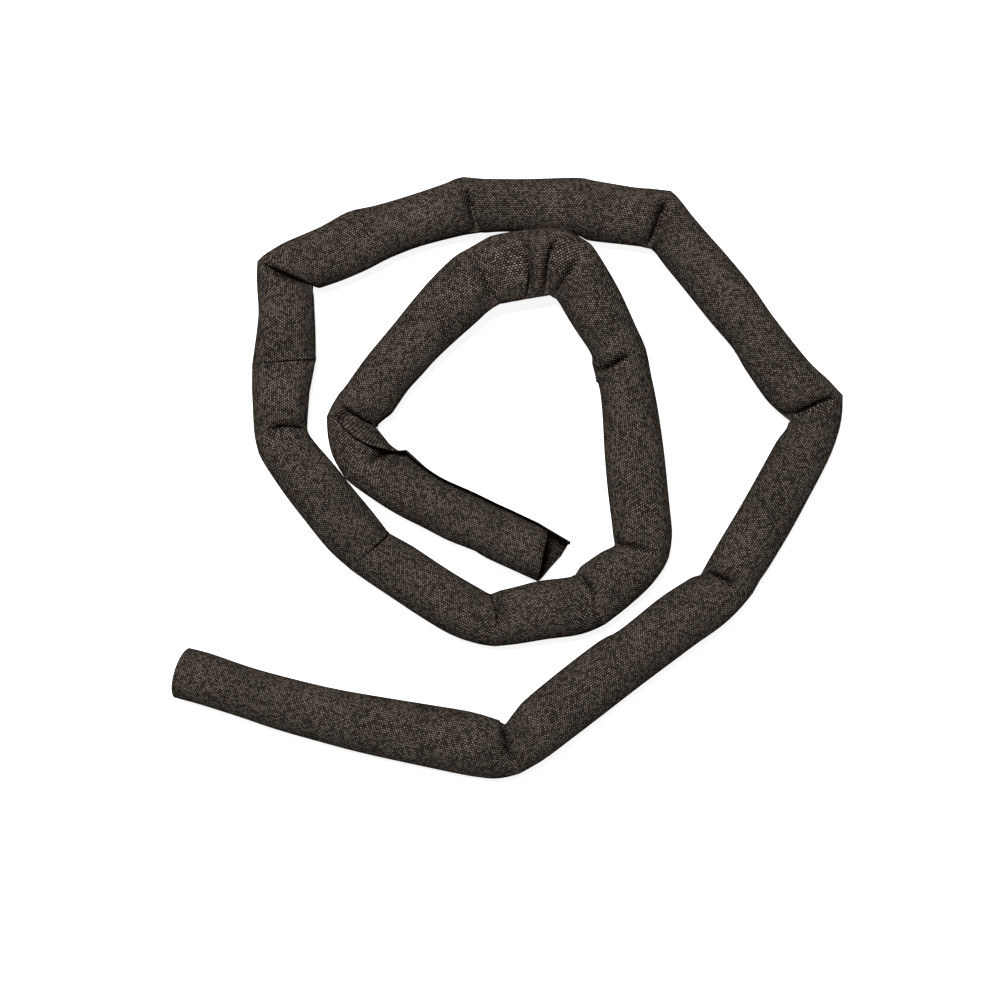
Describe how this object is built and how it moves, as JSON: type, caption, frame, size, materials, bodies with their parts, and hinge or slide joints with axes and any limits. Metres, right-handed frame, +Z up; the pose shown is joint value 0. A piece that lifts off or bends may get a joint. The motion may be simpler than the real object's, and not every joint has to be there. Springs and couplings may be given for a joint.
{
  "type": "woven self-wrapping cable sleeve",
  "caption": "Woven self-wrapping cable sleeve: a cloth strip rolled with overlapping edges into a tube, open at its ends and lying in a loose, kinked coil.",
  "frame": {"origin": "centre of the coil's extent, on the surface it lies on", "axes": "+Z up from the surface; +X along the coil's longest extent, with the outer end of the sleeve on the -X side; +Y the way the inner loop's top points"},
  "size_m": [0.2315, 0.2082, 0.025],
  "materials": {
    "cloth": "matt woven cloth, dark warm grey-brown"
  },
  "bodies": {
    "root": {"sleeve": "cloth"}
  },
  "joints": []
}
